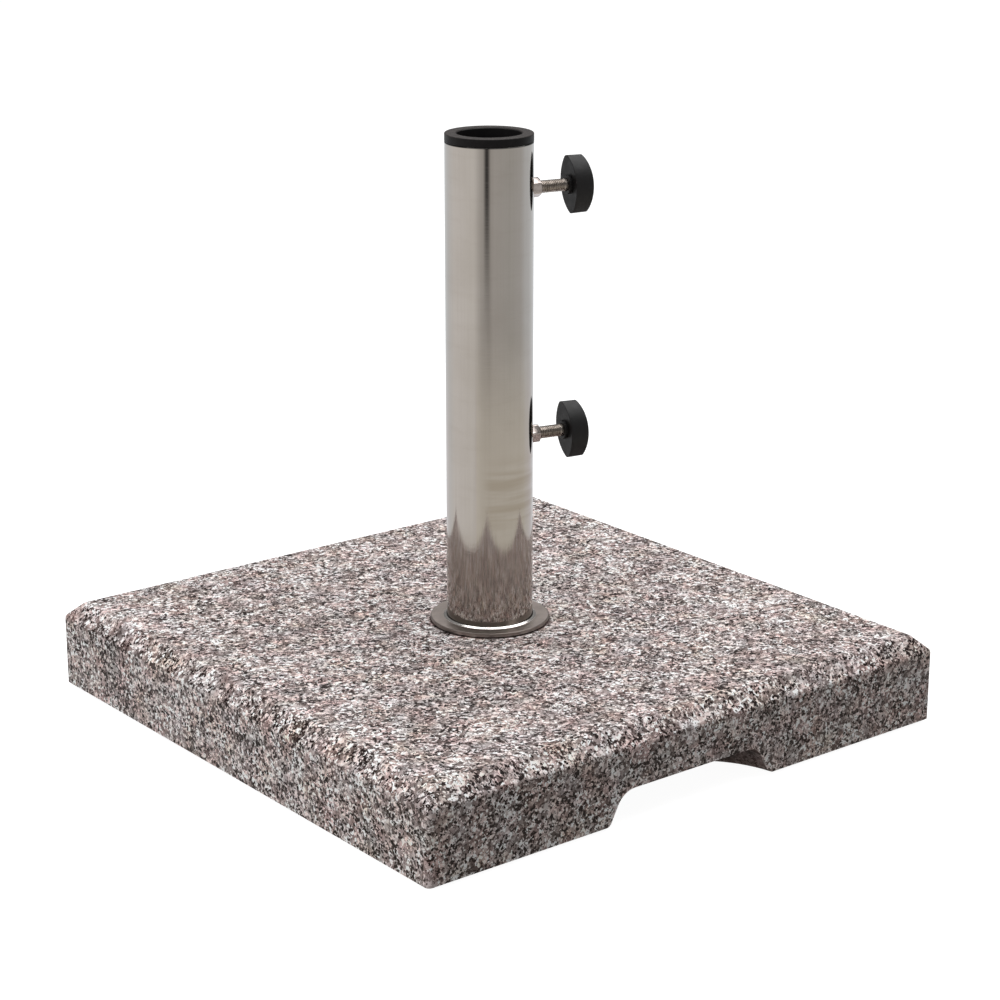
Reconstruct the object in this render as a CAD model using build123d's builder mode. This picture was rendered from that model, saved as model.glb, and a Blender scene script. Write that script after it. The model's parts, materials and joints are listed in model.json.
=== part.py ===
from build123d import *
import os
from math import asin, cos, radians, sin, tan

os.makedirs("parts", exist_ok=True)

# Parasol base: a granite slab with a clamping tube bolted to its middle.
# Millimetres. Z is up, the origin is on the floor under the middle of the slab,
# and the side with the first hand recess faces -Y.

# ---------------------------------------------------------------- granite slab
slab_side = 400.0
slab_height = 56.0
slab_bevel = 10.0
slab_edge_radius = 3.0

# ------------------------------------- hand recess under two opposite sides
recess_radius = 65.0          # plan radius where the recess meets the underside
recess_overhang = 11.0        # centre of that radius beyond the side face
recess_height = 19.8
recess_wall_slope = 27.0      # degrees from upright
recess_crown_radius = 14.0
recess_lip_radius = 4.0
recess_offset = -5.0          # along the face, from the face's middle

# ------------------------------------------------------------------- foot pads
foot_pad_radius = 14.0
foot_pad_height = 2.5
foot_pad_inset = 45.0         # from each side face to the pad's centre
foot_pad_edge = 0.6

# ------------------------------------------------------------------ stand tube
tube_outer_radius = 27.5
tube_wall = 1.2
tube_length = 309.0
tube_edge = 0.3

# ------------------------------------------------------------ pole bush (mouth)
bush_bore_radius = 20.0
bush_flange_height = 5.3
bush_flange_edge = 0.6
bush_mouth_chamfer = 0.8
bush_sleeve_wall = 2.2
bush_spigot_length = 20.0
bush_rib_count = 12
bush_rib_width = 2.0
bush_rib_lead = 1.2

# ------------------------------------------------------- cover ring and gasket
ring_outer_radius = 38.0
ring_thickness = 2.4
ring_collar_wall = 1.4
ring_collar_height = 0.9
ring_edge = 0.4
ring_bore_gap = 0.4
gasket_thickness = 0.8
gasket_inset = 0.7            # gasket's rim inside the ring's rim
gasket_bore_gap = 1.0

# -------------------------------------------------- anchor under the tube (M12)
bolt_radius = 6.0
bolt_head_across_flats = 19.0
bolt_head_height = 7.5
bolt_end_chamfer = 1.0
bolt_projection = 3.0         # above the foot nut
foot_nut_across_flats = 19.0
foot_nut_height = 10.0
foot_plate_thickness = 6.0
anchor_hole_gap = 1.0
washer_radius = 22.5
washer_thickness = 4.0
washer_bore_gap = 0.5
spring_washer_radius = 10.5
spring_washer_thickness = 2.5
spring_washer_bore_gap = 0.2
spring_washer_slit = 2.0
counterbore_gap = 2.5         # round the large washer
counterbore_depth = 16.0

hexagon_face_step = 0.15      # turned face inside the flats, on bolt heads and nuts

# --------------------------------------------------------- clamp screws (M8)
clamp_azimuth = -12.0         # degrees from +X, seen from above
upper_clamp_drop = 31.0       # below the tube's top
lower_clamp_height = 120.0    # above the slab's top face
upper_knob_standoff = 27.5    # tube surface to the knob's inner face
lower_knob_standoff = 25.6
screw_radius = 3.95
screw_reach = 31.6            # knob's inner face to the thrust pad's tip
screw_end_chamfer = 0.6
screw_embedded_length = 8.0   # inside the knob
screw_wall_gap = 0.35         # round the screw where it passes the tube's wall
clamp_nut_across_flats = 11.0
clamp_nut_height = 6.5
upper_clamp_nut_turn = -2.0   # degrees from flats upright, seen from outside
lower_clamp_nut_turn = 17.0
thrust_pad_radius = 3.1
thrust_pad_length = 3.2
thrust_pad_edge = 0.4
thrust_pad_floor = 1.2        # solid end that bears on the pole
thrust_stem_radius = 1.5
thrust_pad_end_gap = 0.3

# ----------------------------------------------------------------------- knobs
knob_half_length = 18.1
knob_half_width = 10.8
knob_tip_half_width = 1.6
knob_thickness = 10.5         # at the tips
knob_crown = 3.0              # outer face's rise from the tips to its middle
knob_draft = 1.0
knob_tip_radius = 1.0
knob_edge = 0.7
knob_hub_radius = 6.0
knob_hub_height = 2.0
knob_hub_edge = 0.3
upper_knob_turn = -12.4       # degrees from upright, seen from outside
lower_knob_turn = -17.1

# -------------------------------------------------------------- named clearances
running_gap = 0.05            # radial, round a piece that turns or slides in its seat
weld_gap = 0.05               # between pieces that a weld joins
bore_overrun = 5.0            # how far a cutting tool passes beyond the piece

# ------------------------------------------------------------------ worked levels
slab_bottom = foot_pad_height
slab_top = slab_bottom + slab_height
tube_top = slab_top + tube_length
tube_inner_radius = tube_outer_radius - tube_wall
half_side = slab_side / 2
bolt_hole_radius = bolt_radius + anchor_hole_gap
counterbore_radius = washer_radius + counterbore_gap
upper_clamp_height = tube_length - upper_clamp_drop
washer_bottom = slab_bottom + counterbore_depth - washer_thickness
bolt_seat = washer_bottom - spring_washer_thickness
foot_nut_bottom = slab_top + foot_plate_thickness
foot_nut_top = foot_nut_bottom + foot_nut_height

# ------------------------------------------------------------------ granite slab
recess_top_radius = recess_radius - recess_height * tan(radians(recess_wall_slope))
recess_centre_y = -(half_side + recess_overhang)

with BuildPart() as granite_slab:
    with BuildSketch(Plane.XY.offset(slab_bottom)):
        Rectangle(slab_side, slab_side)
    extrude(amount=slab_height)
    chamfer(granite_slab.faces().sort_by(Axis.Z)[-1].edges(), slab_bevel)
    underside_edges = granite_slab.faces().sort_by(Axis.Z)[0].edges()
    fillet(granite_slab.edges() - underside_edges, slab_edge_radius)
    for side in (1, -1):
        recess_centre = (side * recess_offset, side * recess_centre_y, slab_bottom)
        recess_plane = Plane(recess_centre, x_dir=(side, 0, 0), z_dir=(0, -side, 0))
        with BuildSketch(recess_plane):
            with BuildLine():
                Polyline(
                    (0, -bore_overrun),
                    (recess_radius, -bore_overrun),
                    (recess_radius, 0),
                    (recess_top_radius, recess_height),
                    (0, recess_height),
                    close=True,
                )
            recess_profile = make_face()
            crown_corner = recess_profile.vertices().sort_by(Axis.Y)[-2:].sort_by(Axis.X)[-1]
            fillet(crown_corner, recess_crown_radius)
        revolve(axis=Axis(recess_centre, (0, 0, 1)), mode=Mode.SUBTRACT)
    recess_lips = granite_slab.edges().filter_by(GeomType.CIRCLE).filter_by(
        lambda edge: abs(edge.radius - recess_radius) < 0.01
    )
    fillet(recess_lips, recess_lip_radius)
    with BuildSketch(Plane.XY.offset(slab_bottom)):
        Circle(counterbore_radius)
    extrude(amount=counterbore_depth, mode=Mode.SUBTRACT)
    with BuildSketch(Plane.XY.offset(slab_bottom)):
        Circle(bolt_hole_radius)
    extrude(amount=slab_height, mode=Mode.SUBTRACT)
granite_slab.part.label = "granite_slab"
export_step(granite_slab.part, "parts/granite_slab.step")

# --------------------------------------------------------------------- foot pads
foot_reach = half_side - foot_pad_inset
foot_corners = {
    "foot_pad_front_left": (-foot_reach, -foot_reach),
    "foot_pad_front_right": (foot_reach, -foot_reach),
    "foot_pad_back_left": (-foot_reach, foot_reach),
    "foot_pad_back_right": (foot_reach, foot_reach),
}
for node_name, corner in foot_corners.items():
    with BuildPart() as foot_pad:
        with BuildSketch(Plane.XY):
            with Locations(corner):
                Circle(foot_pad_radius)
        extrude(amount=foot_pad_height)
        fillet(foot_pad.faces().sort_by(Axis.Z)[0].edges(), foot_pad_edge)
    foot_pad.part.label = node_name
    export_step(foot_pad.part, f"parts/{node_name}.step")

# -------------------------------------------------------------------- stand tube
# Each clamp plane stands on the tube's axis and looks outward along its screw, so
# its own X runs level round the tube and its own Y runs up.
outward = (cos(radians(clamp_azimuth)), sin(radians(clamp_azimuth)), 0)
sideways = (-sin(radians(clamp_azimuth)), cos(radians(clamp_azimuth)), 0)
clamp_axis = Axis((0, 0, 0), outward)


def clamp_plane(height, distance=0.0, turn=0.0):
    """Plane across a clamp screw, a given distance out from the tube's axis."""
    start = (outward[0] * distance, outward[1] * distance, slab_top + height)
    level = cos(radians(turn))
    turned = (sideways[0] * level, sideways[1] * level, sin(radians(turn)))
    return Plane(start, x_dir=turned, z_dir=outward)


with BuildPart() as stand_tube:
    with BuildSketch(Plane.XY.offset(slab_top)):
        Circle(tube_outer_radius)
        Circle(tube_inner_radius, mode=Mode.SUBTRACT)
    extrude(amount=tube_length)
    chamfer(stand_tube.faces().sort_by(Axis.Z)[-1].edges(), tube_edge)
    for clamp_height in (lower_clamp_height, upper_clamp_height):
        with BuildSketch(clamp_plane(clamp_height)):
            Circle(screw_radius + screw_wall_gap)
        extrude(amount=tube_outer_radius + bore_overrun, mode=Mode.SUBTRACT)
stand_tube.part.label = "stand_tube"
export_step(stand_tube.part, "parts/stand_tube.step")

# ---------------------------------------------------------------------- pole bush
bush_sleeve_radius = bush_bore_radius + bush_sleeve_wall
bush_rib_radius = tube_inner_radius - running_gap
rib_start_radius = (bush_bore_radius + bush_sleeve_radius) / 2

with BuildPart() as pole_bush:
    with BuildSketch(Plane.XY.offset(tube_top)):
        Circle(tube_outer_radius)
    extrude(amount=bush_flange_height)
    fillet(pole_bush.edges().filter_by(GeomType.CIRCLE), bush_flange_edge)
    with BuildSketch(Plane.XY.offset(tube_top)):
        Circle(bush_sleeve_radius)
    extrude(amount=-bush_spigot_length)
    with BuildSketch(Plane.XY.offset(tube_top)) as rib_ring:
        with PolarLocations((rib_start_radius + bush_rib_radius) / 2, bush_rib_count):
            Rectangle(bush_rib_radius - rib_start_radius, bush_rib_width)
        Circle(bush_rib_radius, mode=Mode.INTERSECT)
    extrude(amount=-bush_spigot_length)
    rib_leads = pole_bush.faces().sort_by(Axis.Z)[0].edges().filter_by(
        lambda edge: edge.center().X ** 2 + edge.center().Y ** 2 > (bush_rib_radius - 0.1) ** 2
    )
    chamfer(rib_leads, bush_rib_lead)
    with BuildSketch(Plane.XY.offset(tube_top + bush_flange_height)):
        Circle(bush_bore_radius)
    extrude(amount=-(bush_flange_height + bush_spigot_length), mode=Mode.SUBTRACT)
    mouth = pole_bush.edges().filter_by(GeomType.CIRCLE).sort_by(Axis.Z)[-2:]
    chamfer(mouth.sort_by(SortBy.RADIUS)[0], bush_mouth_chamfer)
pole_bush.part.label = "pole_bush"
export_step(pole_bush.part, "parts/pole_bush.step")

# ----------------------------------------------------------- cover ring and gasket
ring_bottom = slab_top + gasket_thickness
ring_top = ring_bottom + ring_thickness
ring_inner_radius = tube_outer_radius + ring_bore_gap

with BuildPart() as ring_gasket:
    with BuildSketch(Plane.XY.offset(slab_top)):
        Circle(ring_outer_radius - gasket_inset)
        Circle(tube_outer_radius + gasket_bore_gap, mode=Mode.SUBTRACT)
    extrude(amount=gasket_thickness)
ring_gasket.part.label = "ring_gasket"
export_step(ring_gasket.part, "parts/ring_gasket.step")

with BuildPart() as cover_ring:
    with BuildSketch(Plane.XY.offset(ring_bottom)):
        Circle(ring_outer_radius)
    extrude(amount=ring_thickness)
    with BuildSketch(Plane.XY.offset(ring_top)):
        Circle(ring_inner_radius + ring_collar_wall)
    extrude(amount=ring_collar_height)
    rims = cover_ring.edges().filter_by(GeomType.CIRCLE).group_by(Axis.Z)
    chamfer(rims[-1], ring_edge)
    fillet(cover_ring.edges().filter_by(GeomType.CIRCLE).sort_by(SortBy.RADIUS)[-2:], ring_edge)
    with BuildSketch(Plane.XY.offset(ring_bottom)):
        Circle(ring_inner_radius)
    extrude(amount=ring_thickness + ring_collar_height, mode=Mode.SUBTRACT)
cover_ring.part.label = "cover_ring"
export_step(cover_ring.part, "parts/cover_ring.step")

# ---------------------------------------------------------- anchor under the tube
stand_on_plane = (Align.CENTER, Align.CENTER, Align.MIN)


def hexagon(plane, across_flats, height, face_step):
    """Hexagon prism as the part being built, its far corners turned off at 30 degrees."""
    corner_radius = across_flats / 2 / cos(radians(30))
    face_radius = across_flats / 2 - face_step
    base_radius = face_radius + height / tan(radians(30))
    with BuildSketch(plane) as outline:
        RegularPolygon(corner_radius, 6)
    extrude(outline.sketch, amount=height)
    with Locations(plane):
        Cone(base_radius, face_radius, height, align=stand_on_plane, mode=Mode.INTERSECT)


with BuildPart() as tube_foot_plate:
    with BuildSketch(Plane.XY.offset(slab_top)):
        Circle(tube_inner_radius - weld_gap)
        Circle(bolt_hole_radius, mode=Mode.SUBTRACT)
    extrude(amount=foot_plate_thickness)
tube_foot_plate.part.label = "tube_foot_plate"
export_step(tube_foot_plate.part, "parts/tube_foot_plate.step")

with BuildPart() as foot_nut:
    hexagon(Plane.XY.offset(foot_nut_bottom), foot_nut_across_flats, foot_nut_height, hexagon_face_step)
    with BuildSketch(Plane.XY.offset(foot_nut_bottom)):
        Circle(bolt_radius + running_gap)
    extrude(amount=foot_nut_height, mode=Mode.SUBTRACT)
foot_nut.part.label = "foot_nut"
export_step(foot_nut.part, "parts/foot_nut.step")

with BuildPart() as anchor_washer:
    with BuildSketch(Plane.XY.offset(washer_bottom)):
        Circle(washer_radius)
        Circle(bolt_radius + washer_bore_gap, mode=Mode.SUBTRACT)
    extrude(amount=washer_thickness)
anchor_washer.part.label = "anchor_washer"
export_step(anchor_washer.part, "parts/anchor_washer.step")

with BuildPart() as anchor_spring_washer:
    with BuildSketch(Plane.XY.offset(bolt_seat)):
        Circle(spring_washer_radius)
        Circle(bolt_radius + spring_washer_bore_gap, mode=Mode.SUBTRACT)
        with Locations((spring_washer_radius, 0)):
            Rectangle(spring_washer_radius, spring_washer_slit, mode=Mode.SUBTRACT)
    extrude(amount=spring_washer_thickness)
anchor_spring_washer.part.label = "anchor_spring_washer"
export_step(anchor_spring_washer.part, "parts/anchor_spring_washer.step")

head_plane = Plane((0, 0, bolt_seat), x_dir=(1, 0, 0), z_dir=(0, 0, -1))
bolt_length = foot_nut_top + bolt_projection - bolt_seat

with BuildPart() as anchor_bolt:
    hexagon(head_plane, bolt_head_across_flats, bolt_head_height, hexagon_face_step)
    with BuildSketch(Plane.XY.offset(bolt_seat)):
        Circle(bolt_radius)
    extrude(amount=bolt_length)
    chamfer(anchor_bolt.faces().sort_by(Axis.Z)[-1].edges(), bolt_end_chamfer)
anchor_bolt.part.label = "anchor_bolt"
export_step(anchor_bolt.part, "parts/anchor_bolt.step")

# ------------------------------------------------------- clamp screws and knobs
clamps = {
    "upper": (upper_clamp_height, upper_knob_standoff, upper_knob_turn, upper_clamp_nut_turn),
    "lower": (lower_clamp_height, lower_knob_standoff, lower_knob_turn, lower_clamp_nut_turn),
}
thrust_stem_length = thrust_pad_length - thrust_pad_floor
nut_start = tube_outer_radius * cos(asin(clamp_nut_across_flats / tube_outer_radius))
nut_blank_length = tube_outer_radius + clamp_nut_height - nut_start

knob_crown_radius = (knob_half_length**2 + knob_crown**2) / (2 * knob_crown)
knob_crown_depth = knob_thickness + knob_crown - knob_crown_radius

for place, (height, standoff, knob_turn, nut_turn) in clamps.items():
    knob_face = tube_outer_radius + standoff
    hub_face = knob_face - knob_hub_height
    pad_tip = knob_face - screw_reach
    screw_end = pad_tip + thrust_pad_length + thrust_pad_end_gap

    with BuildPart() as clamp_nut:
        nut_plane = clamp_plane(height, nut_start, nut_turn)
        hexagon(nut_plane, clamp_nut_across_flats, nut_blank_length, hexagon_face_step)
        with BuildSketch(nut_plane):
            Circle(screw_radius + running_gap)
        extrude(amount=nut_blank_length, mode=Mode.SUBTRACT)
        with BuildSketch(Plane.XY.offset(slab_top + height)):
            Circle(tube_outer_radius + weld_gap)
        extrude(amount=clamp_nut_across_flats, both=True, mode=Mode.SUBTRACT)
    clamp_nut.part.label = f"{place}_clamp_nut"
    export_step(clamp_nut.part, f"parts/{place}_clamp_nut.step")

    with BuildPart() as thrust_pad:
        with BuildSketch(clamp_plane(height, pad_tip)):
            Circle(thrust_pad_radius)
        extrude(amount=thrust_pad_length)
        fillet(thrust_pad.edges().filter_by(GeomType.CIRCLE), thrust_pad_edge)
        with BuildSketch(clamp_plane(height, pad_tip + thrust_pad_floor)):
            Circle(thrust_stem_radius + running_gap)
        extrude(amount=thrust_pad_length, mode=Mode.SUBTRACT)
    thrust_pad.part.label = f"{place}_thrust_pad"
    export_step(thrust_pad.part, f"parts/{place}_thrust_pad.step")

    with BuildPart() as clamp_screw:
        with BuildSketch(clamp_plane(height, screw_end)):
            Circle(screw_radius)
        extrude(amount=knob_face + screw_embedded_length - screw_end)
        chamfer(clamp_screw.edges().filter_by(GeomType.CIRCLE), screw_end_chamfer)
        with BuildSketch(clamp_plane(height, screw_end - thrust_stem_length)):
            Circle(thrust_stem_radius)
        extrude(amount=thrust_stem_length)
    clamp_screw.part.label = f"{place}_clamp_screw"
    export_step(clamp_screw.part, f"parts/{place}_clamp_screw.step")

    with BuildPart() as knob:
        with BuildSketch(clamp_plane(height, knob_face, knob_turn)) as wing:
            with BuildLine():
                side_arc = ThreePointArc(
                    (knob_tip_half_width, -knob_half_length),
                    (knob_half_width, 0),
                    (knob_tip_half_width, knob_half_length),
                )
                other_arc = mirror(side_arc, about=Plane.YZ)
                Line(side_arc @ 0, other_arc @ 0)
                Line(side_arc @ 1, other_arc @ 1)
            make_face()
            fillet(wing.vertices(), knob_tip_radius)
        extrude(amount=knob_thickness + knob_crown, taper=knob_draft)
        with Locations(clamp_plane(height, knob_face + knob_crown_depth).origin):
            Sphere(knob_crown_radius, mode=Mode.INTERSECT)
        fillet(knob.faces().sort_by(clamp_axis)[-1].edges(), knob_edge)
        with BuildSketch(clamp_plane(height, hub_face)):
            Circle(knob_hub_radius)
        extrude(amount=knob_hub_height)
        with BuildSketch(clamp_plane(height, hub_face)):
            Circle(screw_radius + running_gap)
        extrude(amount=knob_hub_height + screw_embedded_length, mode=Mode.SUBTRACT)
    knob.part.label = f"{place}_knob"
    export_step(knob.part, f"parts/{place}_knob.step")
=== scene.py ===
import json
import math

import bmesh
import bpy
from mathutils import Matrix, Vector, noise


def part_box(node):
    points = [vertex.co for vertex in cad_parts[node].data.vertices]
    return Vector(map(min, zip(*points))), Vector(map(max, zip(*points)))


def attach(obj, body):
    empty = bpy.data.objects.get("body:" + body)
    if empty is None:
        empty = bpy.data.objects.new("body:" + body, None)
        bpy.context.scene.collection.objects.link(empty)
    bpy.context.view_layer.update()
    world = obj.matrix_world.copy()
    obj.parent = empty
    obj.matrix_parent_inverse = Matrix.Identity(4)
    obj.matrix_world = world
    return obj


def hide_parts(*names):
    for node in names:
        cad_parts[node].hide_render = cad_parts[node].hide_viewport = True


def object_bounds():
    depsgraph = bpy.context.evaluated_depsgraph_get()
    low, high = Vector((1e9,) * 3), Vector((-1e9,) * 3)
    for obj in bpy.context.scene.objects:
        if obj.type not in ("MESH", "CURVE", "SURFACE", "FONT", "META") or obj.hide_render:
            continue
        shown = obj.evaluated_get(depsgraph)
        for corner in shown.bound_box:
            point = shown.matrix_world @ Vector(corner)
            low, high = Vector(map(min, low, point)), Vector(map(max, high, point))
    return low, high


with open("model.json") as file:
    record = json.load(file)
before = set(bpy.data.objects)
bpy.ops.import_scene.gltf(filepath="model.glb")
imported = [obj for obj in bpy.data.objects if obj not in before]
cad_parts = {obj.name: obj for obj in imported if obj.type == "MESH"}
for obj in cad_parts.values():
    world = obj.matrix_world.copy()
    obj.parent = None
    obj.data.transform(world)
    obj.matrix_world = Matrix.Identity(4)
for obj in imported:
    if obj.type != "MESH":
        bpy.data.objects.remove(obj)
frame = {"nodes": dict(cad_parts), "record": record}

cad_low, cad_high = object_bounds()
scene = bpy.context.scene
scene.view_settings.view_transform = "Standard"
scene.view_settings.look = "None"

MM = 0.001

# Levels and sizes that the looks share, read from the frame.
slab_low, slab_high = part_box("granite_slab")
tube_low, tube_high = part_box("stand_tube")
ring_low, ring_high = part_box("cover_ring")
_, bush_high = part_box("pole_bush")
SLAB_HALF = slab_high.x
TUBE_RADIUS = tube_high.x

# ---------------------------------------------------------------------- camera
CAMERA_FROM_SLAB = Vector((-0.954, -1.2156, 0.6148))   # from the middle of the slab's underside
CAMERA_PITCH = 17.22                                   # degrees below level
CAMERA_HEADING = 51.63                                 # degrees from +X towards +Y
CAMERA_LENS = 91.55
SENSOR_WIDTH = 36

camera_data = bpy.data.cameras.new("photo_camera")
camera_data.lens = CAMERA_LENS
camera_data.sensor_width = SENSOR_WIDTH
camera = bpy.data.objects.new("photo_camera", camera_data)
scene.collection.objects.link(camera)
camera.location = Vector((0, 0, slab_low.z)) + CAMERA_FROM_SLAB
camera.rotation_euler = (math.radians(90 - CAMERA_PITCH), 0, math.radians(CAMERA_HEADING - 90))
scene.camera = camera


# ------------------------------------------------------------- shader shorthand
class Nodes:
    """One node tree, with short calls that add nodes and return their output sockets."""

    def __init__(self, name):
        self.material = bpy.data.materials.new(name)
        self.material.use_nodes = True
        self.tree = self.material.node_tree
        self.shader = self.tree.nodes["Principled BSDF"]

    def add(self, kind, **settings):
        node = self.tree.nodes.new("ShaderNode" + kind)
        for key, value in settings.items():
            setattr(node, key, value)
        return node

    def put(self, socket, value):
        if isinstance(value, bpy.types.NodeSocket):
            self.tree.links.new(value, socket)
        else:
            socket.default_value = value

    def set(self, name, value):
        self.put(self.shader.inputs[name], value)

    def place(self):
        return self.add("TexCoord").outputs["Object"]

    def split(self, vector):
        node = self.add("SeparateXYZ")
        self.put(node.inputs[0], vector)
        return node.outputs

    def join(self, x, y, z):
        node = self.add("CombineXYZ")
        for socket, value in zip(node.inputs, (x, y, z)):
            self.put(socket, value)
        return node.outputs[0]

    def math(self, operation, a, b=0.0, c=0.0, clamp=False):
        node = self.add("Math", operation=operation, use_clamp=clamp)
        for socket, value in zip(node.inputs, (a, b, c)):
            self.put(socket, value)
        return node.outputs[0]

    def vector(self, operation, a, b):
        node = self.add("VectorMath", operation=operation)
        self.put(node.inputs[0], a)
        self.put(node.inputs[1], b)
        return node.outputs[0]

    def scaled(self, vector, factors):
        return self.vector("MULTIPLY", vector, factors)

    def noise(self, vector, scale, detail, roughness, colour=False):
        node = self.add("TexNoise")
        self.put(node.inputs["Vector"], vector)
        node.inputs["Scale"].default_value = scale
        node.inputs["Detail"].default_value = detail
        node.inputs["Roughness"].default_value = roughness
        return node.outputs["Color" if colour else "Fac"]

    def cells(self, vector, scale):
        """Three random values per cell of a Voronoi pattern, and the distance from its middle."""
        node = self.add("TexVoronoi")
        self.put(node.inputs["Vector"], vector)
        node.inputs["Scale"].default_value = scale
        parts = self.add("SeparateColor")
        self.put(parts.inputs[0], node.outputs["Color"])
        return (*parts.outputs, node.outputs["Distance"])

    def ramp(self, value, stops, interpolation="LINEAR"):
        node = self.add("ValToRGB")
        ramp = node.color_ramp
        ramp.interpolation = interpolation
        while len(ramp.elements) < len(stops):
            ramp.elements.new(0.5)
        for element, (position, colour) in zip(ramp.elements, stops):
            element.position = position
            element.color = (*colour, 1)
        self.put(node.inputs[0], value)
        return node.outputs["Color"]

    def span(self, value, start, end, low=0.0, high=1.0):
        """Smooth step of value from start to end, onto low to high."""
        node = self.add("MapRange", interpolation_type="SMOOTHSTEP")
        for socket, number in zip(node.inputs, (value, start, end, low, high)):
            self.put(socket, number)
        return node.outputs[0]

    def mix(self, factor, a, b, blend="MIX"):
        node = self.add("Mix", data_type="RGBA", blend_type=blend)
        self.put(node.inputs[0], factor)
        self.put(node.inputs[6], a if isinstance(a, bpy.types.NodeSocket) else (*a, 1))
        self.put(node.inputs[7], b if isinstance(b, bpy.types.NodeSocket) else (*b, 1))
        return node.outputs[2]

    def bump(self, height, distance, under=None):
        node = self.add("Bump")
        node.inputs["Distance"].default_value = distance
        self.put(node.inputs["Height"], height)
        if under is not None:
            self.put(node.inputs["Normal"], under)
        return node.outputs[0]

    def product(self, a, b):
        return self.math("MULTIPLY", a, b)

    def from_axis(self, x, y):
        """Distance from the upright axis that the tube, the ring and the frame share."""
        return self.math("SQRT", self.math("ADD", self.product(x, x), self.product(y, y)))

    def tinted(self, colour, tint):
        return self.mix(1.0, colour, tint, "MULTIPLY")


def grey(value):
    return (value, value, value)


def srgb(red, green, blue):
    """Linear colour of an 8-bit screen colour."""
    out = []
    for value in (red, green, blue):
        c = value / 255
        out.append(c / 12.92 if c <= 0.04045 else ((c + 0.055) / 1.055) ** 2.4)
    return tuple(out)


# --------------------------------------------------------------------- granite
GRAINS = 430              # cells per metre
QUARTZ_THREADS = 760
MICA_FLAKES = 620
FINE_SPECKS = 1050
MINERAL_PATCHES = 128
SCREEN_GAMMA = 2.2
ROSE_CAST = (0.034, -0.0145, -0.028)     # added to each channel of the tone on screen
POLISHED_SKIN = 1.8 * MM                 # stone further in than this is sawn
SAWN_DROP = 12 * MM                      # the sawn faces start this far below the top


def minerals(n, place, warped):
    """Feldspar and quartz grains in patches of about a centimetre: colour, grain shade, patch shade."""
    sway = n.vector("SUBTRACT", n.noise(place, 95, 2, 0.6, colour=True), grey(0.5))
    swayed = n.vector("ADD", warped, n.scaled(sway, grey(0.016)))
    patch, patch_shade, _, _ = n.cells(swayed, MINERAL_PATCHES)
    kind, shade, tint, _ = n.cells(warped, GRAINS)
    stray = n.math("MULTIPLY_ADD", shade, 0.62, -0.31)
    patch = n.math("ADD", patch, stray)
    pale = n.ramp(kind, [
        (0.00, srgb(108, 101, 100)), (0.16, srgb(150, 140, 138)), (0.38, srgb(188, 177, 174)),
        (0.64, srgb(220, 212, 209)), (0.86, srgb(240, 235, 232)),
    ], "CONSTANT")
    pink = n.ramp(kind, [
        (0.00, srgb(112, 100, 99)), (0.20, srgb(148, 129, 127)), (0.46, srgb(173, 151, 148)),
        (0.74, srgb(200, 179, 175)), (0.90, srgb(232, 222, 219)),
    ], "CONSTANT")
    tan = n.ramp(kind, [
        (0.00, srgb(136, 114, 107)), (0.30, srgb(184, 155, 145)), (0.65, srgb(212, 188, 179)),
        (0.88, srgb(232, 222, 216)),
    ], "CONSTANT")
    dusky = n.ramp(kind, [
        (0.00, srgb(44, 48, 53)), (0.36, srgb(78, 82, 86)), (0.62, srgb(120, 121, 121)),
        (0.84, srgb(206, 203, 200)),
    ], "CONSTANT")
    mineral = n.mix(n.math("LESS_THAN", patch, 0.50), pale, pink)
    mineral = n.mix(n.math("GREATER_THAN", patch, 1.0), mineral, dusky)
    mineral = n.mix(n.math("LESS_THAN", patch, -0.04), mineral, tan)
    mineral = n.mix(n.product(shade, 0.26), mineral, srgb(118, 106, 104))
    mineral = n.mix(n.span(tint, 0.80, 1.0, 0, 0.5), mineral, srgb(244, 240, 236))

    # Pale quartz threads run between the larger grains.
    thread_kind, _, _, thread_at = n.cells(warped, QUARTZ_THREADS)
    thread = n.product(n.span(thread_kind, 0.74, 0.80), n.span(thread_at, 0.62, 0.45))
    mineral = n.mix(n.product(thread, 0.8), mineral, srgb(232, 226, 222))
    return mineral, shade, patch_shade


def black_mica(n, warped, patch_shade, mineral):
    """Flakes gathered in clusters, and fine single specks: the colour and where it is dark."""
    flake, flake_shade, _, flake_at = n.cells(n.vector("ADD", warped, (0.31, 0.17, 0.05)), MICA_FLAKES)
    likely = n.span(patch_shade, 0.10, 0.95, 0.05, 0.34)
    mica = n.product(n.math("LESS_THAN", flake, likely), n.span(flake_at, 0.78, 0.68))
    speck, _, _, speck_at = n.cells(n.vector("ADD", warped, (0.07, 0.03, 0.11)), FINE_SPECKS)
    fine = n.product(n.math("LESS_THAN", speck, 0.17), n.span(speck_at, 0.62, 0.52))
    dark = n.math("MAXIMUM", mica, n.product(fine, 0.9))
    black = n.mix(flake_shade, srgb(12, 12, 15), srgb(44, 44, 50))
    return n.mix(n.product(dark, 0.97), mineral, black), dark


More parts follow.
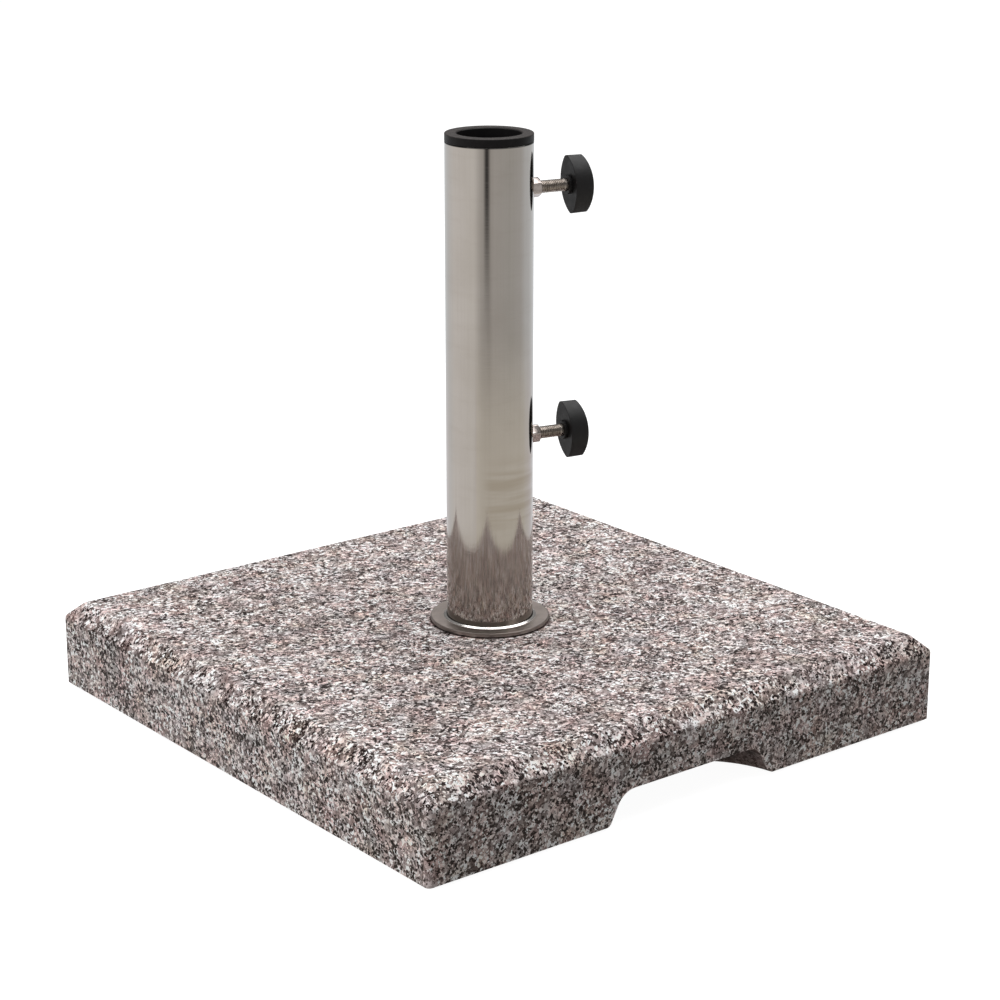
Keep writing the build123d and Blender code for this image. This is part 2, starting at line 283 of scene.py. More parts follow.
def stone_casts(n, place, colour):
    """One faint rose cast shared by dark and pale grains, and stronger casts over whole patches."""
    value = n.add("RGBToBW")
    n.put(value.inputs[0], colour)
    tone = n.math("POWER", value.outputs[0], 1 / SCREEN_GAMMA)
    shared = n.join(*(n.math("POWER", n.math("ADD", tone, shift), SCREEN_GAMMA) for shift in ROSE_CAST))
    colour = n.mix(0.88, colour, shared)
    cloud = n.noise(n.vector("ADD", place, (0.5, 0.1, 0.8)), 40, 3, 0.65)
    colour = n.tinted(colour, n.ramp(cloud, [
        (0.37, grey(0.76)), (0.47, grey(0.96)), (0.54, grey(1.05)), (0.64, grey(1.27)),
    ]))
    rose = n.noise(n.vector("ADD", place, (0.9, 0.4, 0.2)), 66, 3, 0.6)
    colour = n.tinted(colour, n.ramp(rose, [
        (0.28, (0.93, 1.02, 1.04)), (0.45, (0.98, 1.0, 1.01)), (0.58, (1.05, 0.98, 0.97)),
        (0.72, (1.12, 0.95, 0.94)),
    ]))
    straw = n.noise(n.vector("ADD", place, (0.2, 0.7, 0.5)), 48, 2, 0.6)
    return n.tinted(colour, n.ramp(straw, [
        (0.35, (1.0, 1.0, 1.03)), (0.58, (1.0, 1.0, 0.99)), (0.75, (1.035, 1.0, 0.92)),
    ]))


def granite():
    """Medium-grained grey and pink granite: polished faces, sawn recesses and underside."""
    n = Nodes("granite")
    place = n.place()
    wobble = n.vector("SUBTRACT", n.noise(place, 420, 3, 0.6, colour=True), grey(0.5))
    warped = n.vector("ADD", place, n.scaled(wobble, grey(0.0034)))
    mineral, shade, patch_shade = minerals(n, place, warped)
    colour, dark = black_mica(n, warped, patch_shade, mineral)

    # Sawn stone is anywhere inside the polished outer faces.
    x, y, z = n.split(place)
    inside = (SLAB_HALF - POLISHED_SKIN, SLAB_HALF - POLISHED_SKIN + 1 * MM, 1, 0)
    side_x = n.span(n.math("ABSOLUTE", x), *inside)
    side_y = n.span(n.math("ABSOLUTE", y), *inside)
    below = n.span(z, slab_high.z - SAWN_DROP, slab_high.z - SAWN_DROP - 2 * MM)
    sawn = n.product(n.product(side_x, side_y), below)
    # The sawn stone is greyer and flatter; the further darkening towards dark grey is painted shade in
    # the recesses and on the underside.
    flat = n.mix(0.55, colour, srgb(112, 106, 105))
    colour = n.mix(sawn, colour, n.mix(0.35, flat, srgb(60, 58, 60)))

    # Small chips let the upright corners go pale.
    near_x = n.span(n.math("ABSOLUTE", x), SLAB_HALF - 3.5 * MM, SLAB_HALF - 0.8 * MM)
    near_y = n.span(n.math("ABSOLUTE", y), SLAB_HALF - 3.5 * MM, SLAB_HALF - 0.8 * MM)
    chip = n.product(n.product(near_x, near_y), n.span(n.noise(place, 170, 3, 0.65), 0.52, 0.66))
    colour = n.mix(n.product(chip, 0.55), colour, srgb(206, 200, 194))

    # Painted shadow: the stone is darkened in a narrow band against the cover ring's edge.
    painted_ring_shadow = n.span(n.from_axis(x, y), ring_high.x + 1.6 * MM, ring_high.x - 0.2 * MM, 0, 0.75)
    colour = n.mix(painted_ring_shadow, colour, srgb(38, 34, 32))
    deep = n.add("Gamma")
    n.put(deep.inputs["Color"], colour)
    deep.inputs["Gamma"].default_value = 1.42
    colour = n.tinted(deep.outputs[0], grey(1.60))
    colour = stone_casts(n, place, colour)
    n.set("Base Color", n.vector("MINIMUM", colour, grey(0.95)))

    polish = n.math("MULTIPLY_ADD", shade, 0.10, 0.30)
    polish = n.math("ADD", polish, n.product(dark, 0.18))
    rough = n.add("Mix", data_type="FLOAT")
    n.put(rough.inputs[0], n.math("MAXIMUM", sawn, n.product(chip, 0.8)))
    n.put(rough.inputs[2], polish)
    rough.inputs[3].default_value = 0.82
    n.set("Roughness", rough.outputs[0])
    n.shader.inputs["Specular IOR Level"].default_value = 0.2

    pits = n.math("SUBTRACT", n.product(n.noise(place, 900, 3, 0.6), 0.4), n.product(dark, 0.5))
    surface = n.bump(pits, 0.06 * MM)
    saw = n.product(n.noise(place, 520, 4, 0.7), n.math("MAXIMUM", sawn, chip))
    n.set("Normal", n.bump(saw, 0.7 * MM, under=surface))
    return n.material


# ---------------------------------------------------------------------- metals
SHADED_SIDE_BEARING = math.radians(-38)     # the tube's side given painted shade, seen from above
SIDE_SHADE_LOW = tube_low.z + 62 * MM
SIDE_SHADE_HIGH = tube_low.z + 122 * MM
FOOT_SHADE_TOP = tube_low.z + 70 * MM


def around(n, place):
    """Place on the tube's outside: the direction from its axis at the outer radius, and the height."""
    x, y, z = n.split(place)
    bearing = n.math("ARCTAN2", y, x)
    return n.join(n.product(n.math("COSINE", bearing), TUBE_RADIUS),
                  n.product(n.math("SINE", bearing), TUBE_RADIUS), z)


def polished_steel():
    """Mirror-polished stainless tube, its polishing lines running round it."""
    n = Nodes("polished_steel")
    place = n.place()
    skin = around(n, place)
    lines = n.noise(n.scaled(skin, (40, 40, 2600)), 1, 3, 0.6)
    streaks = n.noise(n.scaled(skin, (620, 620, 9)), 1, 3, 0.6)
    haze = n.noise(skin, 26, 3, 0.55)
    smears = n.noise(n.scaled(skin, (30, 30, 150)), 1, 3, 0.6)
    n.set("Metallic", 1.0)
    base = n.mix(n.span(haze, 0.35, 0.7), (0.485, 0.455, 0.425), (0.455, 0.424, 0.392))
    base = n.mix(n.span(streaks, 0.4, 0.75, 0, 0.28), base, (0.42, 0.388, 0.356))

    # Painted shade: one side of the tube, next to the clamps and just above the foot, is darkened with a
    # smudgy mottle in place of a darker reflection there.
    x, y, height = n.split(place)
    toward_shaded_side = n.math("ADD", n.product(x, math.cos(SHADED_SIDE_BEARING) / TUBE_RADIUS),
                     n.product(y, math.sin(SHADED_SIDE_BEARING) / TUBE_RADIUS))
    above_side_shade_low = n.span(height, SIDE_SHADE_LOW, SIDE_SHADE_LOW + 18 * MM)
    below_side_shade_high = n.span(height, SIDE_SHADE_HIGH, SIDE_SHADE_HIGH - 24 * MM)
    painted_side_shade = n.product(n.product(above_side_shade_low, below_side_shade_high), n.span(toward_shaded_side, -0.25, 0.10))
    side_shade_mottle = n.noise(n.scaled(skin, (14, 14, 170)), 1, 2, 0.5)
    base = n.mix(n.product(n.span(side_shade_mottle, 0.36, 0.66), painted_side_shade), base, (0.395, 0.355, 0.31))
    base = n.mix(n.span(smears, 0.50, 0.75, 0, 0.12), base, (0.36, 0.32, 0.28))

    # Painted shade: the tube is darkened all round towards its foot, in place of the shaded reflection
    # of the slab there.
    foot = n.span(height, FOOT_SHADE_TOP, FOOT_SHADE_TOP - 28 * MM, 0, 0.75)
    base = n.mix(foot, base, (0.355, 0.315, 0.28))

    # Painted shade: a thin dark band round the tube's top edge, under the bush's flange.
    painted_flange_shade = n.span(height, tube_high.z - 0.9 * MM, tube_high.z - 0.4 * MM)
    n.set("Base Color", n.mix(painted_flange_shade, base, (0.05, 0.047, 0.045)))
    rough = n.math("ADD", n.span(haze, 0.3, 0.75, 0.028, 0.05), n.span(smears, 0.5, 0.75, 0, 0.04))
    n.set("Roughness", rough)
    n.set("Normal", n.bump(n.math("ADD", lines, n.product(streaks, 0.12)), 0.011 * MM))
    return n.material


def satin_steel():
    """Turned stainless cover ring: fine circles, painted shade on its outer rim and a painted highlight
    on its rolled collar.
    """
    n = Nodes("satin_steel")
    place = n.place()
    x, y, z = n.split(place)
    reach = n.from_axis(x, y)
    circles = 3800
    turned = n.noise(n.join(n.product(reach, circles), n.product(z, circles), 0.0), 1, 3, 0.65)
    haze = n.noise(place, 130, 4, 0.6)
    n.set("Metallic", 1.0)
    # Painted highlight: the rolled collar is coloured almost white.
    collar = n.span(reach, TUBE_RADIUS + 2.4 * MM, TUBE_RADIUS + 1.9 * MM)
    flat = n.mix(n.span(haze, 0.35, 0.7), (0.63, 0.55, 0.51), (0.54, 0.47, 0.43))
    # Painted shade: the ring's outer rim is darkened.
    rim = n.span(reach, ring_high.x - 0.7 * MM, ring_high.x - 0.2 * MM, 0, 0.85)
    flat = n.mix(rim, flat, (0.27, 0.235, 0.215))
    n.set("Base Color", n.mix(collar, flat, (0.93, 0.90, 0.87)))
    satin = n.math("ADD", n.span(turned, 0.3, 0.7, 0.30, 0.40), n.product(collar, -0.14))
    n.set("Roughness", satin)
    n.set("Normal", n.bump(turned, 0.01 * MM))
    return n.material


def plated_steel(name, colour, stain, roughness):
    """Plated fixings: slightly mottled plating, darker and rougher in random patches."""
    n = Nodes(name)
    place = n.place()
    mottle = n.noise(place, 420, 4, 0.65)
    fine = n.noise(place, 2520, 2, 0.6)
    n.set("Metallic", 1.0)
    n.set("Base Color", n.mix(n.span(mottle, 0.38, 0.68, 0, 0.75), colour, stain))
    n.set("Roughness", n.span(mottle, 0.3, 0.75, roughness, roughness + 0.16))
    n.set("Normal", n.bump(n.math("ADD", fine, mottle), 0.02 * MM))
    return n.material


# -------------------------------------------------------------------- plastics
def moulded_plastic(name, colour, worn, roughness, grain, shine=0.5, lighter_top_height=None):
    """Fine spark-eroded moulding texture with rubbed spots, and painted light on the face at height
    dusty.
    """
    n = Nodes(name)
    place = n.place()
    texture = n.noise(place, grain, 3, 0.6)
    rubbed = n.noise(place, 190, 4, 0.6)
    base = n.mix(n.span(rubbed, 0.5, 0.78, 0, 0.7), colour, worn)
    if lighter_top_height:
        _, _, height = n.split(place)
        # Painted light: the face at that height is lightened, unevenly.
        painted_top_light = n.span(height, lighter_top_height - 0.7 * MM, lighter_top_height - 0.2 * MM, 0, 0.8)
        uneven = n.span(rubbed, 0.30, 0.62, 0.75, 1.0)
        base = n.mix(n.product(painted_top_light, uneven), base, (0.060, 0.053, 0.051))
    n.set("Base Color", base)
    n.set("Roughness", n.math("ADD", n.span(rubbed, 0.35, 0.75, roughness, roughness - 0.09),
                              n.product(texture, 0.08)))
    n.shader.inputs["Specular IOR Level"].default_value = shine
    n.set("Normal", n.bump(texture, 0.05 * MM))
    return n.material


materials = {
    "granite": granite(),
    "polished_steel": polished_steel(),
    "rosette_steel": satin_steel(),
    "zinc_steel": plated_steel("zinc_steel", (0.60, 0.60, 0.61), (0.42, 0.42, 0.43), 0.32),
    "nut_steel": plated_steel("nut_steel", (0.52, 0.465, 0.44), (0.30, 0.255, 0.235), 0.12),
    "screw_steel": plated_steel("screw_steel", (0.41, 0.37, 0.335), (0.22, 0.19, 0.165), 0.24),
    "knob_plastic": moulded_plastic("knob_plastic", (0.0098, 0.0092, 0.0096), (0.017, 0.016, 0.0168),
                                    0.46, 3600, 0.28),
    "bush_plastic": moulded_plastic("bush_plastic", (0.0105, 0.0095, 0.0098), (0.017, 0.0152, 0.0155),
                                    0.42, 3000, 0.12, lighter_top_height=bush_high.z),
    "nylon": moulded_plastic("nylon", (0.74, 0.73, 0.68), (0.62, 0.60, 0.55), 0.45, 2600),
    "pad_rubber": moulded_plastic("pad_rubber", (0.022, 0.022, 0.022), (0.05, 0.048, 0.045), 0.78, 2200),
}
slot_of = {part["node"]: part["material_slot"] for part in frame["record"]["subparts"]}
for node, shown in frame["nodes"].items():
    shown.data.materials.clear()
    shown.data.materials.append(materials[slot_of[node]])


# ---------------------------------------------------------------- mesh helpers
def new_piece(name, mesh_tool, slot, body, *replaced):
    """Object from a bmesh, in its slot's material, riding on body in place of CAD nodes."""
    bmesh.ops.recalc_face_normals(mesh_tool, faces=mesh_tool.faces)
    mesh = bpy.data.meshes.new(name)
    mesh_tool.to_mesh(mesh)
    mesh_tool.free()
    mesh.materials.append(materials[slot])
    mesh.shade_smooth()
    mesh.set_sharp_from_angle(angle=math.radians(38))
    piece = bpy.data.objects.new(name, mesh)
    scene.collection.objects.link(piece)
    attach(piece, body)
    if replaced:
        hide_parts(*replaced)


def bridge(mesh_tool, loop_a, loop_b):
    """Band of quads between two closed loops of as many points."""
    count = len(loop_a)
    for i in range(count):
        j = (i + 1) % count
        mesh_tool.faces.new((loop_a[i], loop_a[j], loop_b[j], loop_b[i]))


def chain(mesh_tool, loops, closed=False):
    """Skin over loops in a row, back to the first loop where closed."""
    following = loops[1:] + loops[:1] if closed else loops[1:]
    for loop_a, loop_b in zip(loops, following):
        bridge(mesh_tool, loop_a, loop_b)


def angles(steps):
    """Even angles once round a circle."""
    return [2 * math.pi * k / steps for k in range(steps)]


def lathe(mesh_tool, profile, steps, place=lambda p: p):
    """Closed turned solid: profile is (radius, height) all the way round its section."""
    loops = []
    for radius, height in profile:
        loops.append([
            mesh_tool.verts.new(place(Vector((radius * math.cos(a), radius * math.sin(a), height))))
            for a in angles(steps)
        ])
    chain(mesh_tool, loops, closed=True)


def bend(start, corner, end, t):
    """Point at share t of a quadratic curve that leaves and arrives along the corner's sides."""
    return start * (1 - t) ** 2 + corner * 2 * t * (1 - t) + end * t ** 2


def rounded(corners, steps=5):
    """Section outline of (x, y, radius) corners, each corner with a round of that radius."""
    out = []
    count = len(corners)
    for i, (x, y, radius) in enumerate(corners):
        here = Vector((x, y))
        if radius <= 0:
            out.append((x, y))
            continue
        back = (Vector(corners[i - 1][:2]) - here).normalized()
        on = (Vector(corners[(i + 1) % count][:2]) - here).normalized()
        half_angle = back.angle(on) / 2
        run = radius / math.tan(half_angle)
        start, end = here + back * run, here + on * run
        for k in range(steps + 1):
            p = bend(start, here, end, k / steps)
            out.append((p.x, p.y))
    return out


# ------------------------------------------------------------------ clamp screws
CLAMP_AZIMUTH = math.radians(-12.0)
THREAD_PITCH = 1.25 * MM
THREAD_RADIUS = 3.95 * MM
THREAD_DEPTH = 0.62 * MM
THREAD_CREST = 0.16                # shares of one pitch
THREAD_FLANK = 0.36
THREAD_ROOT = 0.12
THREAD_ROWS = 12                   # mesh rows in one pitch
RUN_OUT = 1.3 * THREAD_PITCH       # where the thread fades into the neck
NECK_LENGTH = 1.5 * MM
END_CHAMFER = 0.7 * MM
STEM_RADIUS = 1.5 * MM
STEM_CHAMFER = 0.2 * MM
EMBEDDED_LENGTH = 6 * MM           # of the screw, inside the hub and knob
SCREW_REACH = 31.6 * MM
PAD_LENGTH = 3.2 * MM
PAD_FLOOR = 1.2 * MM
PAD_END_GAP = 0.3 * MM
HUB_HEIGHT = 2.0 * MM
HUB_RADIUS = 6.0 * MM
HUB_ROOT = 0.6 * MM                # the hub's start, inside the knob
KNOB_HALF_LENGTH = 18.1 * MM
KNOB_HALF_WIDTH = 10.8 * MM
KNOB_TIP_HALF_WIDTH = 1.6 * MM
KNOB_THICKNESS = 10.5 * MM
KNOB_CROWN = 3.0 * MM
KNOB_DRAFT = math.radians(1.0)
KNOB_TIP_TRIM = 0.85 * MM          # cut off either side of a tip's corner by its rounding
KNOB_INNER_ROUND = 0.22 * MM
KNOB_OUTER_ROUND = 0.7 * MM
NUT_ACROSS_FLATS = 11.0 * MM
NUT_HEIGHT = 6.5 * MM
NUT_CHAMFER = math.radians(30)
NUT_CORNER_SHARE = 0.985           # of a sharp hexagon's reach at its corners
NUT_FACE_STEP = 0.15 * MM          # turned face inside the flats
NUT_COUNTERSINK = 0.5 * MM
SCREW_HOLE = THREAD_RADIUS + 0.05 * MM    # radius, in the nut and in the knob's hub
BEAD_SIZE = 0.55 * MM
WELD_GAP = 0.05 * MM

# Height, standoff of the knob's inner face from the tube, turn of the knob, turn of the nut.
clamps = {
    "upper": (tube_high.z - 31.0 * MM, 27.5 * MM, math.radians(-12.4), math.radians(-2.0)),
    "lower": (tube_low.z + 120.0 * MM, 25.6 * MM, math.radians(-17.1), math.radians(17.0)),
}
outward = Vector((math.cos(CLAMP_AZIMUTH), math.sin(CLAMP_AZIMUTH), 0))
sideways = Vector((-math.sin(CLAMP_AZIMUTH), math.cos(CLAMP_AZIMUTH), 0))
upward = Vector((0, 0, 1))


def clamp_place(height, distance, turn=0.0):
    """Function that maps a point of the clamp's own plane, its z outward, into the frame."""
    across = sideways * math.cos(turn) + upward * math.sin(turn)
    along = upward * math.cos(turn) - sideways * math.sin(turn)
    middle = Vector((0, 0, height)) + outward * distance

    def place(p):
        return middle + across * p.x + along * p.y + outward * p.z
    return place


def thread_radius(phase):
    """Radius across one pitch: flat crest, flank, narrow root, flank."""
    phase %= 1.0
    root_start = THREAD_CREST + THREAD_FLANK
    root_end = root_start + THREAD_ROOT
    if phase < THREAD_CREST:
        depth = 0.0
    elif phase < root_start:
        depth = (phase - THREAD_CREST) / THREAD_FLANK
    elif phase < root_end:
        depth = 1.0
    else:
        depth = 1.0 - (phase - root_end) / THREAD_FLANK
    depth = depth * depth * (3 - 2 * depth)
    return THREAD_RADIUS - THREAD_DEPTH * depth


def clamp_screw(where, height, knob_face):
    """M8 screw: stem into the thrust pad, chamfered end, thread, plain neck at the knob's hub."""
    pad_tip = knob_face - SCREW_REACH
    start = pad_tip + PAD_LENGTH + PAD_END_GAP
    hub_face = knob_face - HUB_HEIGHT
    thread_end = hub_face - NECK_LENGTH
    place = clamp_place(height, start)
    mesh_tool = bmesh.new()
    steps = 40
    stem_length = PAD_LENGTH - PAD_FLOOR
    length = thread_end - start
    loops = []

    def row(at, radius_of):
        loop = []
        for a in angles(steps):
            r = radius_of(a)
            loop.append(mesh_tool.verts.new(place(Vector((r * math.cos(a), r * math.sin(a), at)))))
        loops.append(loop)

    def threaded(at):
        lead = min(1.0, at / END_CHAMFER)
        run_out = min(1.0, (length - at) / RUN_OUT)

        def radius(a):
            thread = thread_radius(at / THREAD_PITCH - a / (2 * math.pi))
            thread = THREAD_RADIUS - (THREAD_RADIUS - thread) * run_out
            return min(thread, THREAD_RADIUS - END_CHAMFER * (1 - lead))
        return radius

    row(-stem_length, lambda a: STEM_RADIUS - STEM_CHAMFER)
    row(-stem_length + STEM_CHAMFER, lambda a: STEM_RADIUS)
    row(0.0, lambda a: STEM_RADIUS)
    count = int(length / (THREAD_PITCH / THREAD_ROWS))
    for k in range(count + 1):
        at = length * k / count
        row(at, threaded(at))
    neck_end = hub_face - start
    for at in (length + 0.15 * MM, neck_end, neck_end + EMBEDDED_LENGTH):
        row(at, lambda a: THREAD_RADIUS)
    chain(mesh_tool, loops)
    mesh_tool.faces.new(loops[0])
    mesh_tool.faces.new(loops[-1])
    new_piece(f"{where}_screw_threaded", mesh_tool, "screw_steel",
              f"{where}_handwheel", f"{where}_clamp_screw")


# ------------------------------------------------------------------------ knobs
def wing_outline(inset):
    """Outline of the two-pointed knob, drawn in from its full size by inset."""
    rise = KNOB_HALF_WIDTH - KNOB_TIP_HALF_WIDTH
    arc_radius = (KNOB_HALF_LENGTH ** 2 + rise ** 2) / (2 * rise)
    centre = KNOB_HALF_WIDTH - arc_radius
    radius = arc_radius - inset
    top = KNOB_HALF_LENGTH - inset
    corner = math.asin(top / radius)
    trim = KNOB_TIP_TRIM / radius
    quarter = []
    arc_steps, tip_steps = 26, 6
    for k in range(arc_steps + 1):
        a = (corner - trim) * k / arc_steps
        quarter.append(Vector((centre + radius * math.cos(a), radius * math.sin(a))))
    corner_point = Vector((centre + radius * math.cos(corner), top))
    tip_start = quarter[-1]
    tip_end = Vector((max(corner_point.x - KNOB_TIP_TRIM, 0.05 * MM), top))
    for k in range(1, tip_steps + 1):
        quarter.append(bend(tip_start, corner_point, tip_end, k / tip_steps))
    right = quarter + [Vector((-p.x, p.y)) for p in reversed(quarter)]
    left = [Vector((-p.x, -p.y)) for p in right[1:-1]]
    return right + left


def knob(where, height, knob_face, turn):
    """Moulded hand knob: lens outline, softened rims, crowned outer face, hub round the screw."""
    place = clamp_place(height, knob_face, turn)
    mesh_tool = bmesh.new()
    crown_radius = (KNOB_HALF_LENGTH ** 2 + KNOB_CROWN ** 2) / (2 * KNOB_CROWN)
    crown_middle = KNOB_THICKNESS + KNOB_CROWN - crown_radius

    def crown_at(p):
        return crown_middle + math.sqrt(crown_radius ** 2 - p.x ** 2 - p.y ** 2)

    # Each level is a share of the height up to the crown, a shift outward and an inset.
    levels = []
    inner_steps, wall_steps, outer_steps = 4, 5, 6
    for k in range(inner_steps + 1):
        a = math.pi / 2 * k / inner_steps
        levels.append((0.0, KNOB_INNER_ROUND * (1 - math.cos(a)), KNOB_INNER_ROUND * (1 - math.sin(a))))
    for k in range(1, wall_steps + 1):
        share = k / wall_steps
        inset = share * KNOB_THICKNESS * math.tan(KNOB_DRAFT)
        levels.append((share, KNOB_INNER_ROUND * (1 - share) - KNOB_OUTER_ROUND * share, inset))
    side = levels[-1][2]
    for k in range(1, outer_steps + 1):
        a = math.pi / 2 * k / outer_steps
        drop = KNOB_OUTER_ROUND * (1 - math.sin(a))
        levels.append((1.0, -drop, side + KNOB_OUTER_ROUND * (1 - math.cos(a))))
    loops = []
    for share, shift, inset in levels:
        loop = []
        for p in wing_outline(inset):
            at = share * crown_at(p) + shift
            loop.append(mesh_tool.verts.new(place(Vector((p.x, p.y, at)))))
        loops.append(loop)
    chain(mesh_tool, loops)
    # Both faces close towards the middle. The inner one is faintly sunk, as thick mouldings are.
    for loop, inset, sunk in ((loops[0], levels[0][2], True), (loops[-1], levels[-1][2], False)):
        previous = loop
        for shrink, sink in ((0.9, 0.06 * MM), (0.75, 0.12 * MM), (0.6, 0.16 * MM),
                             (0.45, 0.18 * MM), (0.3, 0.2 * MM), (0.12, 0.2 * MM)):
            ring = []
            for p in wing_outline(inset):
                q = p * shrink
                at = sink if sunk else crown_at(q)
                ring.append(mesh_tool.verts.new(place(Vector((q.x, q.y, at)))))
            bridge(mesh_tool, previous, ring)
            previous = ring
        mesh_tool.faces.new(previous)
    hub = rounded([(SCREW_HOLE, HUB_ROOT, 0),
                   (HUB_RADIUS, HUB_ROOT, 0),
                   (HUB_RADIUS, -HUB_HEIGHT, 0.45 * MM),
                   (SCREW_HOLE, -HUB_HEIGHT, 0.25 * MM)])
    lathe(mesh_tool, hub, 72, place)
    new_piece(f"{where}_knob_moulding", mesh_tool, "knob_plastic",
              f"{where}_handwheel", f"{where}_knob")


# ------------------------------------------------------------------- weld nuts
def hexagon_reach(angle):
    """Distance from a hexagon's middle to its outline, its corners slightly cut off."""
    sector = (angle + math.pi / 6) % (math.pi / 3) - math.pi / 6
    half = NUT_ACROSS_FLATS / 2
    return min(half / math.cos(sector), half / math.cos(math.pi / 6) * NUT_CORNER_SHARE)


def weld_nut(where, height, nut_turn):
    """Hexagon nut with its foot cut to the tube, chamfered face and countersunk bore."""
    place = clamp_place(height, 0.0, nut_turn)
    seat = TUBE_RADIUS + WELD_GAP
    face = TUBE_RADIUS + NUT_HEIGHT
    cos_turn, sin_turn = math.cos(nut_turn), math.sin(nut_turn)

    def foot(x, y):
        across = x * cos_turn - y * sin_turn
        return math.sqrt(seat ** 2 - across ** 2)

    mesh_tool = bmesh.new()
    rings = []

    def ring(radius_of, at_of):
        loop = []
        for a in angles(96):
            r = radius_of(a)
            x, y = r * math.cos(a), r * math.sin(a)
            loop.append(mesh_tool.verts.new(place(Vector((x, y, at_of(a, x, y))))))
        rings.append(loop)

    turned_face = NUT_ACROSS_FLATS / 2 - NUT_FACE_STEP

    def chamfer_at(a):
        return face - (hexagon_reach(a) - turned_face) * math.tan(NUT_CHAMFER)

    ring(hexagon_reach, lambda a, x, y: foot(x, y))
    ring(hexagon_reach, lambda a, x, y: chamfer_at(a) - 0.12 * MM)
    ring(lambda a: hexagon_reach(a) - 0.06 * MM, lambda a, x, y: chamfer_at(a))
    ring(lambda a: turned_face, lambda a, x, y: face)
    ring(lambda a: SCREW_HOLE + NUT_COUNTERSINK, lambda a, x, y: face)
    ring(lambda a: SCREW_HOLE, lambda a, x, y: face - NUT_COUNTERSINK)
    ring(lambda a: SCREW_HOLE, lambda a, x, y: foot(x, y))
    chain(mesh_tool, rings, closed=True)
    new_piece(f"{where}_weld_nut", mesh_tool, "nut_steel", "stand", f"{where}_clamp_nut")


def weld_bead(where, height, nut_turn):
    """Low rippled bead laid round the nut's foot on the tube."""
    place = clamp_place(height, 0.0, nut_turn)
    mesh_tool = bmesh.new()
    cos_turn, sin_turn = math.cos(nut_turn), math.sin(nut_turn)
    loops = []
    for a in angles(144):
        spot = Vector((math.cos(a), math.sin(a), height * 40)) * 2.3
        ripple = 0.10 * math.sin(26 * a) + 0.22 * noise.noise(spot)
        size = BEAD_SIZE * (1 + ripple)
        reach = hexagon_reach(a) - 0.15 * MM
        loop = []
        for b in angles(8):
            r = reach + size * math.cos(b)
            x, y = r * math.cos(a), r * math.sin(a)
            across = x * cos_turn - y * sin_turn
            at = math.sqrt(TUBE_RADIUS ** 2 - across ** 2) + size * 0.55 * math.sin(b)
            loop.append(mesh_tool.verts.new(place(Vector((x, y, at)))))
        loops.append(loop)
    chain(mesh_tool, loops, closed=True)
    new_piece(f"{where}_weld_bead", mesh_tool, "nut_steel", "stand")


for where, (height, standoff, knob_turn, nut_turn) in clamps.items():
    knob_face = TUBE_RADIUS + standoff
    clamp_screw(where, height, knob_face)
    knob(where, height, knob_face, knob_turn)
    weld_nut(where, height, nut_turn)
    weld_bead(where, height, nut_turn)


# ------------------------------------------------------------------- cover ring
RING_CLEARANCE = 0.4 * MM
RING_THICKNESS = 2.4 * MM


def cover_ring():
    """Turned ring with a rolled collar that stands up round the tube."""
    bore = TUBE_RADIUS + RING_CLEARANCE
    rim = ring_high.x
    bottom, top = ring_low.z, ring_high.z
    face = bottom + RING_THICKNESS
    section = rounded([
        (bore, bottom, 0),
        (rim, bottom, 0.12 * MM),
        (rim, face, 0.45 * MM),
        (bore + 1.9 * MM, face, 0.3 * MM),
        (bore + 0.5 * MM, top, 0.3 * MM),
        (bore, top, 0.1 * MM),
    ])
    mesh_tool = bmesh.new()
    lathe(mesh_tool, section, 192)
    new_piece("cover_ring_turned", mesh_tool, "rosette_steel", "stand", "cover_ring")


cover_ring()


# ---------------------------------------------------------------- studio and floor
CAMERA_AZIMUTH = math.atan2(CAMERA_FROM_SLAB.y, CAMERA_FROM_SLAB.x)
STAGE_HALF = 30.0
FLOOR_GAP = 0.3 * MM        # below the feet, so that no two faces share a plane
ROOM_GAP = 2 * MM


def floor_material():
    """Pale floor that lights itself evenly, so that it stays white to its far edge."""
    n = Nodes("floor")
    mottle = n.noise(n.place(), 3.0, 3, 0.5)
    n.set("Base Color", n.mix(mottle, grey(0.30), grey(0.31)))
    n.set("Roughness", 0.9)
    n.shader.inputs["Specular IOR Level"].default_value = 0.1
    n.shader.inputs["Emission Color"].default_value = (1, 1, 1, 1)
    n.shader.inputs["Emission Strength"].default_value = 0.95
    # It is open from below, so that the underside can be looked at.
    side = n.add("NewGeometry").outputs["Backfacing"]
    both = n.add("MixShader")
    n.put(both.inputs[0], side)
    n.put(both.inputs[1], n.shader.outputs[0])
    n.put(both.inputs[2], n.add("BsdfTransparent").outputs[0])
    n.put(n.tree.nodes["Material Output"].inputs["Surface"], both.outputs[0])
    return n.material


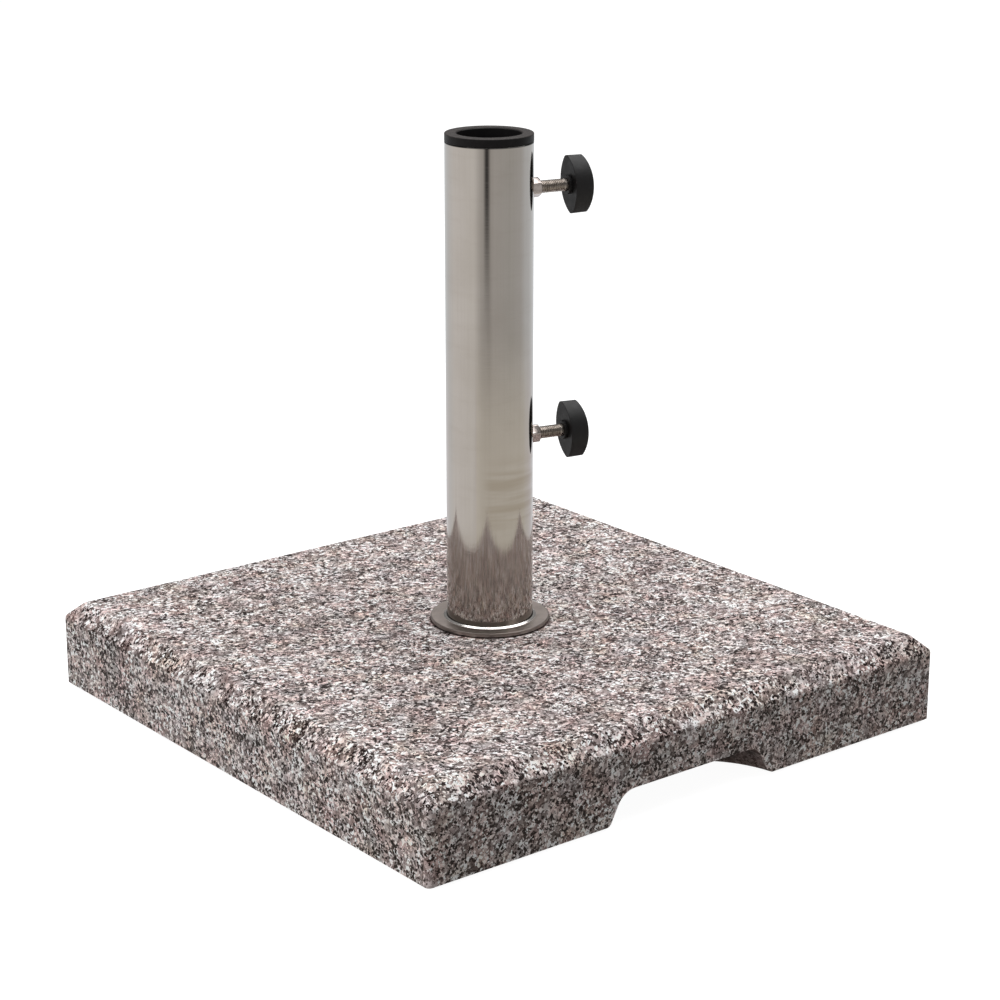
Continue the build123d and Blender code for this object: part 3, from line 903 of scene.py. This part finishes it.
def reflected_room():
    """Studio card for glossy reflections only: pale at the sides, dim in front, one dark line."""
    n = Nodes("reflected_room")
    x, y, _ = n.split(n.place())
    turn = math.pi - CAMERA_AZIMUTH
    cos_turn, sin_turn = math.cos(turn), math.sin(turn)
    along = n.math("SUBTRACT", n.product(x, cos_turn), n.product(y, sin_turn))
    across = n.math("ADD", n.product(x, sin_turn), n.product(y, cos_turn))
    # The bearing is 0 towards the photograph's camera and positive to the right of it.
    bearing = n.math("ARCTAN2", n.product(across, -1.0), n.product(along, -1.0))
    share = n.math("MULTIPLY_ADD", bearing, 1 / (2 * math.pi), 0.5, clamp=True)
    light = n.ramp(share, [
        (0.00, (0.79, 0.83, 0.86)), (0.10, (0.82, 0.84, 0.86)), (0.24, (0.94, 0.92, 0.90)),
        (0.375, (0.90, 0.88, 0.85)), (0.465, (0.55, 0.53, 0.51)), (0.50, (0.50, 0.48, 0.46)),
        (0.53, (0.58, 0.56, 0.54)), (0.66, (0.57, 0.56, 0.54)), (0.73, (0.60, 0.59, 0.58)),
        (0.81, (0.74, 0.76, 0.78)), (0.92, (0.83, 0.86, 0.89)), (1.0, (0.80, 0.84, 0.87)),
    ], "EASE")
    reach = n.from_axis(x, y)
    light = n.mix(n.span(reach, 1.15, 0.60, 0, 0.72), light, (0.86, 0.82, 0.73), "LIGHTEN")
    offset = n.math("ABSOLUTE", n.math("ADD", bearing, math.radians(6)))
    line = n.product(n.span(offset, math.radians(11), math.radians(1)), n.span(reach, 1.0, 2.0))
    light = n.mix(n.product(line, 0.93), light, grey(0.03))
    glow = n.add("Emission")
    n.put(glow.inputs["Color"], light)
    n.tree.links.new(glow.outputs[0], n.tree.nodes["Material Output"].inputs["Surface"])
    return n.material


def stage_plane(name, height, material):
    mesh_tool = bmesh.new()
    corners = [mesh_tool.verts.new((STAGE_HALF * sx, STAGE_HALF * sy, height))
               for sx, sy in ((-1, -1), (1, -1), (1, 1), (-1, 1))]
    mesh_tool.faces.new(corners)
    mesh = bpy.data.meshes.new(name)
    mesh_tool.to_mesh(mesh)
    mesh_tool.free()
    mesh.materials.append(material)
    plane = bpy.data.objects.new(name, mesh)
    scene.collection.objects.link(plane)
    return plane


floor = stage_plane("floor", cad_low.z - FLOOR_GAP, floor_material())
floor.visible_glossy = False
floor.visible_diffuse = False
room = stage_plane("reflected_room", cad_low.z - ROOM_GAP, reflected_room())
room.visible_camera = False
room.visible_diffuse = False
room.visible_shadow = False
room.visible_transmission = False


def softbox(name, position, aim, size, power):
    light = bpy.data.lights.new(name, "AREA")
    light.shape = "RECTANGLE"
    light.size, light.size_y = size
    light.energy = power
    lamp = bpy.data.objects.new(name, light)
    scene.collection.objects.link(lamp)
    lamp.location = position
    lamp.rotation_euler = (Vector(aim) - Vector(position)).to_track_quat("-Z", "Y").to_euler()
    return lamp


softbox("overhead", (0.60, 0.38, 2.35), (0, 0.05, 0), (2.6, 2.6), 64)
key = softbox("left", (-2.6, -0.1, 1.1), (0, 0, 0.05), (1.8, 1.8), 40)
key.visible_glossy = False
softbox("right", (1.2, -2.6, 1.0), (0, 0, 0.05), (1.4, 1.4), 2.5)
# A small card that the nuts' upper faces and the threads mirror.
softbox("card", (0.55, -0.75, 1.6), (0.05, 0, 0.2), (0.7, 0.7), 4)

world = bpy.data.worlds.new("studio")
scene.world = world
world.use_nodes = True
background = world.node_tree.nodes["Background"]
background.inputs["Color"].default_value = (1.0, 0.985, 0.97, 1)
background.inputs["Strength"].default_value = 0.18
